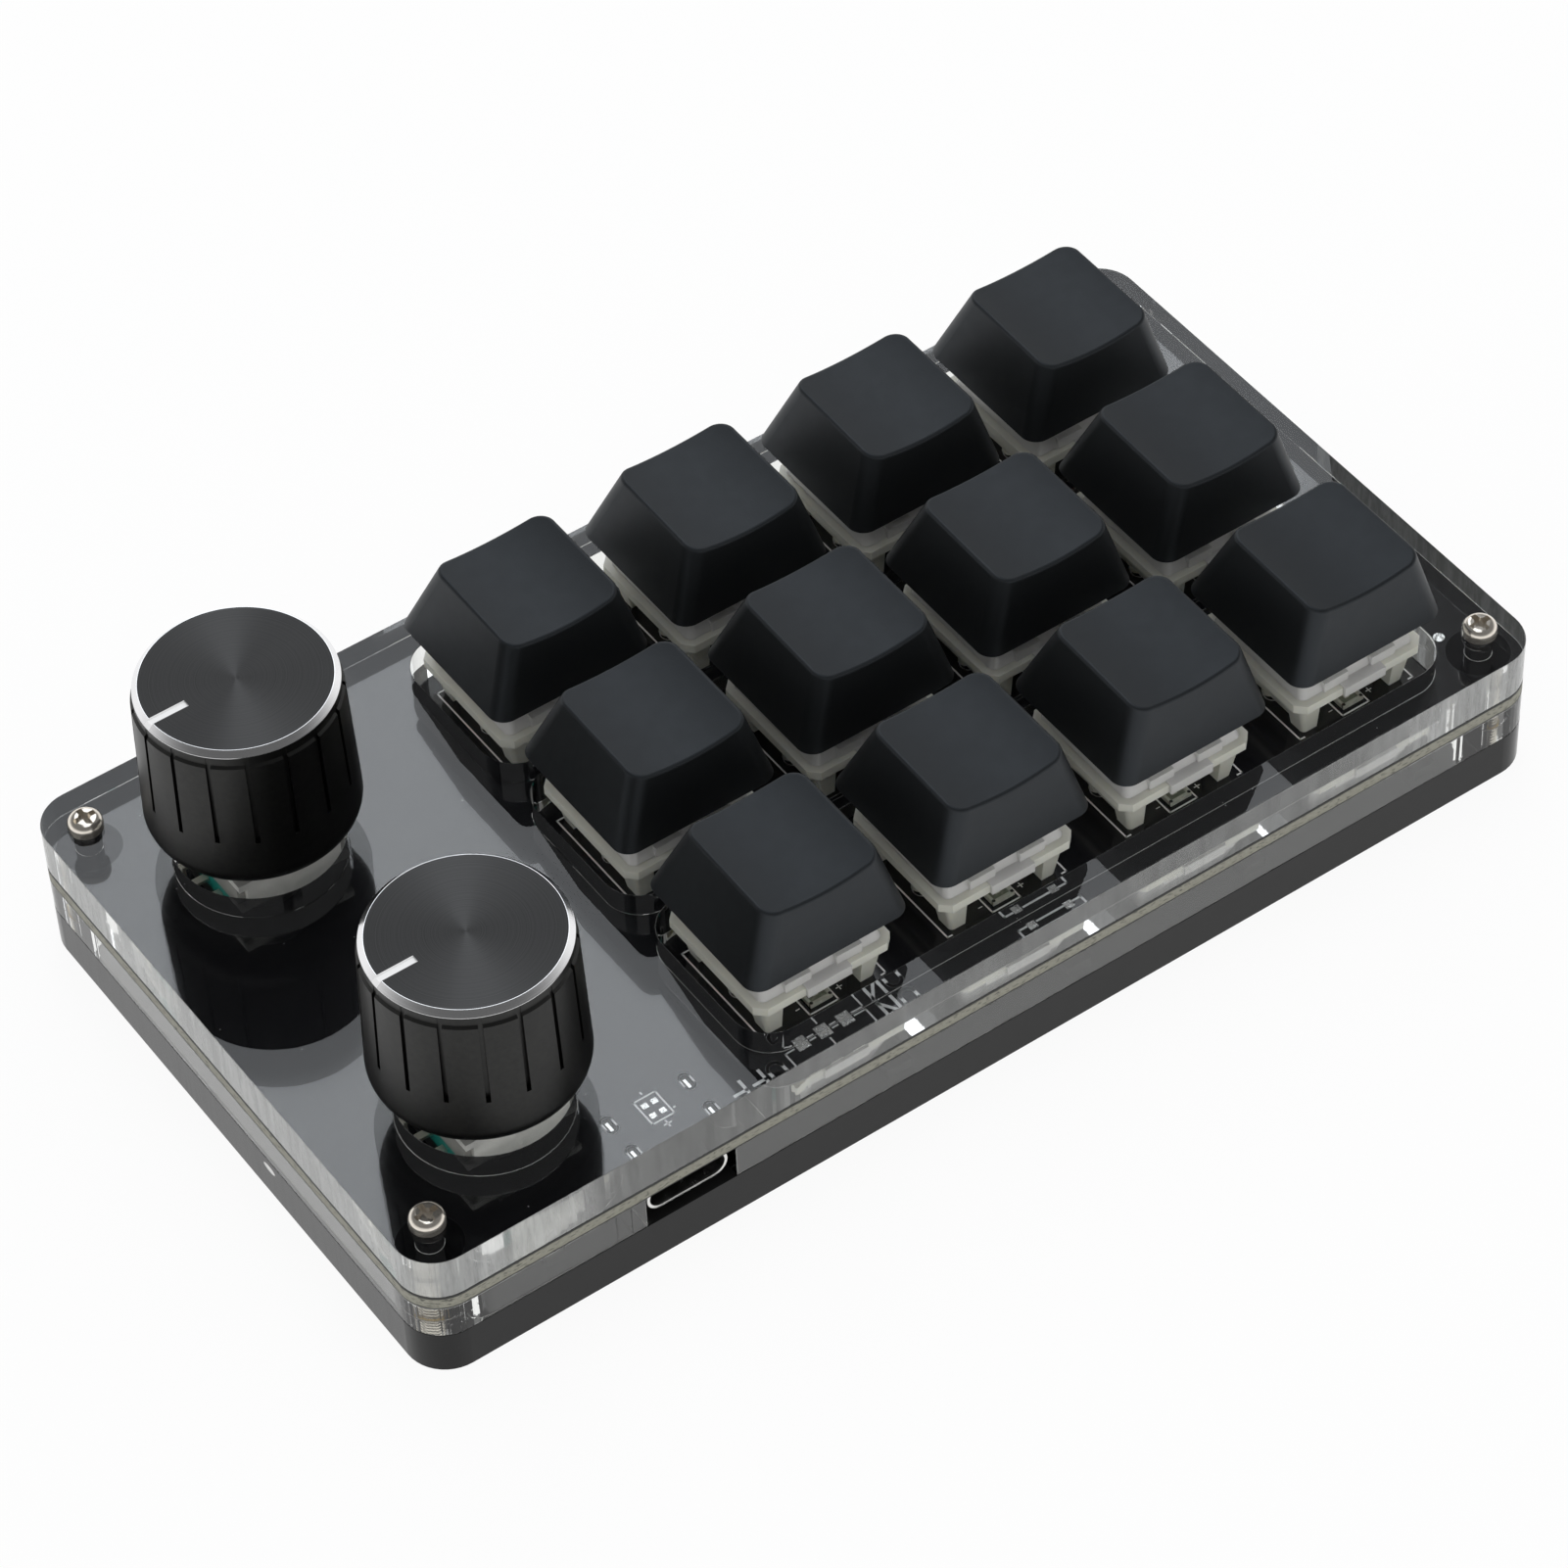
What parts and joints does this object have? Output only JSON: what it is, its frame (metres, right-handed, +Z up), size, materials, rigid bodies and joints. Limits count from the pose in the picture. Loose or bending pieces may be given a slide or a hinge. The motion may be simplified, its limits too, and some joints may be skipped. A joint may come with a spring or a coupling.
{
  "type": "macro keypad with knobs",
  "caption": "Desk keypad with a grid of sculpted keys and push-to-turn knobs on a sandwich of clear and black acrylic sheets, with a side USB socket.",
  "frame": {"origin": "on the table, at the centre of the footprint", "axes": "+X to the knob end, +Y to the side with the USB socket, +Z up"},
  "size_m": [0.13, 0.07, 0.0368],
  "materials": {
    "black_acrylic": "smooth polished sheet",
    "clear_acrylic": "clear polished sheet with laser-cut edges",
    "circuit_board": "black solder mask with white print",
    "screw_steel": "nickel plated",
    "brass": "plain",
    "socket_steel": "nickel plated",
    "black_plastic": "moulded",
    "cream_plastic": "moulded",
    "clear_plastic": "moulded, clear",
    "led_package": "moulded with a clear window",
    "teal_plastic": "moulded",
    "bracket_steel": "tin plated",
    "shaft_steel": "turned",
    "keycap_plastic": "fine texture",
    "stem_plastic": "moulded",
    "spring_steel": "wound wire",
    "knob_aluminium": "black anodised, top spun, bevel cut bright"
  },
  "bodies": {
    "base": {"bottom_plate": "black_acrylic", "clear_frame": "clear_acrylic", "circuit_board": "circuit_board", "top_plate": "clear_acrylic", "plate_screws": "screw_steel", "screw_inserts": "brass", "usb_shell": "socket_steel", "usb_tongue": "black_plastic", "switch_lower_housings": "cream_plastic", "switch_upper_housings": "clear_plastic", "switch_contacts": "brass", "switch_leds": "led_package", "encoder_bases": "teal_plastic", "encoder_brackets": "bracket_steel", "encoder_terminals": "bracket_steel", "controller_chip": "black_plastic", "switch_diodes": "black_plastic", "board_parts": "black_plastic", "spring_c1r1": "spring_steel", "spring_c1r2": "spring_steel", "spring_c1r3": "spring_steel", "spring_c2r1": "spring_steel", "spring_c2r2": "spring_steel", "spring_c2r3": "spring_steel", "spring_c3r1": "spring_steel", "spring_c3r2": "spring_steel", "spring_c3r3": "spring_steel", "spring_c4r1": "spring_steel", "spring_c4r2": "spring_steel", "spring_c4r3": "spring_steel"},
    "key_c1r1": {"keycap_c1r1": "keycap_plastic", "stem_c1r1": "stem_plastic"},
    "key_c1r2": {"keycap_c1r2": "keycap_plastic", "stem_c1r2": "stem_plastic"},
    "key_c1r3": {"keycap_c1r3": "keycap_plastic", "stem_c1r3": "stem_plastic"},
    "key_c2r1": {"keycap_c2r1": "keycap_plastic", "stem_c2r1": "stem_plastic"},
    "key_c2r2": {"keycap_c2r2": "keycap_plastic", "stem_c2r2": "stem_plastic"},
    "key_c2r3": {"keycap_c2r3": "keycap_plastic", "stem_c2r3": "stem_plastic"},
    "key_c3r1": {"keycap_c3r1": "keycap_plastic", "stem_c3r1": "stem_plastic"},
    "key_c3r2": {"keycap_c3r2": "keycap_plastic", "stem_c3r2": "stem_plastic"},
    "key_c3r3": {"keycap_c3r3": "keycap_plastic", "stem_c3r3": "stem_plastic"},
    "key_c4r1": {"keycap_c4r1": "keycap_plastic", "stem_c4r1": "stem_plastic"},
    "key_c4r2": {"keycap_c4r2": "keycap_plastic", "stem_c4r2": "stem_plastic"},
    "key_c4r3": {"keycap_c4r3": "keycap_plastic", "stem_c4r3": "stem_plastic"},
    "rotor_front": {"encoder_rotor_front": "black_plastic"},
    "knob_front": {"encoder_shaft_front": "shaft_steel", "knob_front": "knob_aluminium"},
    "rotor_back": {"encoder_rotor_back": "black_plastic"},
    "knob_back": {"encoder_shaft_back": "shaft_steel", "knob_back": "knob_aluminium"}
  },
  "joints": [
    {"name": "press_c1r1", "type": "slide", "parent": "base", "child": "key_c1r1", "axis": [0, 0, -1], "range_m": [0, 0.004], "stiffness_N_per_m": 100, "springref_m": -0.004, "deforming": ["spring_c1r1"]},
    {"name": "press_c1r2", "type": "slide", "parent": "base", "child": "key_c1r2", "axis": [0, 0, -1], "range_m": [0, 0.004], "stiffness_N_per_m": 100, "springref_m": -0.004, "deforming": ["spring_c1r2"]},
    {"name": "press_c1r3", "type": "slide", "parent": "base", "child": "key_c1r3", "axis": [0, 0, -1], "range_m": [0, 0.004], "stiffness_N_per_m": 100, "springref_m": -0.004, "deforming": ["spring_c1r3"]},
    {"name": "press_c2r1", "type": "slide", "parent": "base", "child": "key_c2r1", "axis": [0, 0, -1], "range_m": [0, 0.004], "stiffness_N_per_m": 100, "springref_m": -0.004, "deforming": ["spring_c2r1"]},
    {"name": "press_c2r2", "type": "slide", "parent": "base", "child": "key_c2r2", "axis": [0, 0, -1], "range_m": [0, 0.004], "stiffness_N_per_m": 100, "springref_m": -0.004, "deforming": ["spring_c2r2"]},
    {"name": "press_c2r3", "type": "slide", "parent": "base", "child": "key_c2r3", "axis": [0, 0, -1], "range_m": [0, 0.004], "stiffness_N_per_m": 100, "springref_m": -0.004, "deforming": ["spring_c2r3"]},
    {"name": "press_c3r1", "type": "slide", "parent": "base", "child": "key_c3r1", "axis": [0, 0, -1], "range_m": [0, 0.004], "stiffness_N_per_m": 100, "springref_m": -0.004, "deforming": ["spring_c3r1"]},
    {"name": "press_c3r2", "type": "slide", "parent": "base", "child": "key_c3r2", "axis": [0, 0, -1], "range_m": [0, 0.004], "stiffness_N_per_m": 100, "springref_m": -0.004, "deforming": ["spring_c3r2"]},
    {"name": "press_c3r3", "type": "slide", "parent": "base", "child": "key_c3r3", "axis": [0, 0, -1], "range_m": [0, 0.004], "stiffness_N_per_m": 100, "springref_m": -0.004, "deforming": ["spring_c3r3"]},
    {"name": "press_c4r1", "type": "slide", "parent": "base", "child": "key_c4r1", "axis": [0, 0, -1], "range_m": [0, 0.004], "stiffness_N_per_m": 100, "springref_m": -0.004, "deforming": ["spring_c4r1"]},
    {"name": "press_c4r2", "type": "slide", "parent": "base", "child": "key_c4r2", "axis": [0, 0, -1], "range_m": [0, 0.004], "stiffness_N_per_m": 100, "springref_m": -0.004, "deforming": ["spring_c4r2"]},
    {"name": "press_c4r3", "type": "slide", "parent": "base", "child": "key_c4r3", "axis": [0, 0, -1], "range_m": [0, 0.004], "stiffness_N_per_m": 100, "springref_m": -0.004, "deforming": ["spring_c4r3"]},
    {"name": "turn_front", "type": "hinge", "parent": "base", "child": "rotor_front", "pos_m": [0.04815, -0.0195, 0.0106], "axis": [0, 0, 1], "continuous": true},
    {"name": "push_front", "type": "slide", "parent": "rotor_front", "child": "knob_front", "axis": [0, 0, -1], "range_m": [0, 0.0005], "stiffness_N_per_m": 3000, "springref_m": -0.001},
    {"name": "turn_back", "type": "hinge", "parent": "base", "child": "rotor_back", "pos_m": [0.04815, 0.0195, 0.0106], "axis": [0, 0, 1], "continuous": true},
    {"name": "push_back", "type": "slide", "parent": "rotor_back", "child": "knob_back", "axis": [0, 0, -1], "range_m": [0, 0.0005], "stiffness_N_per_m": 3000, "springref_m": -0.001}
  ]
}
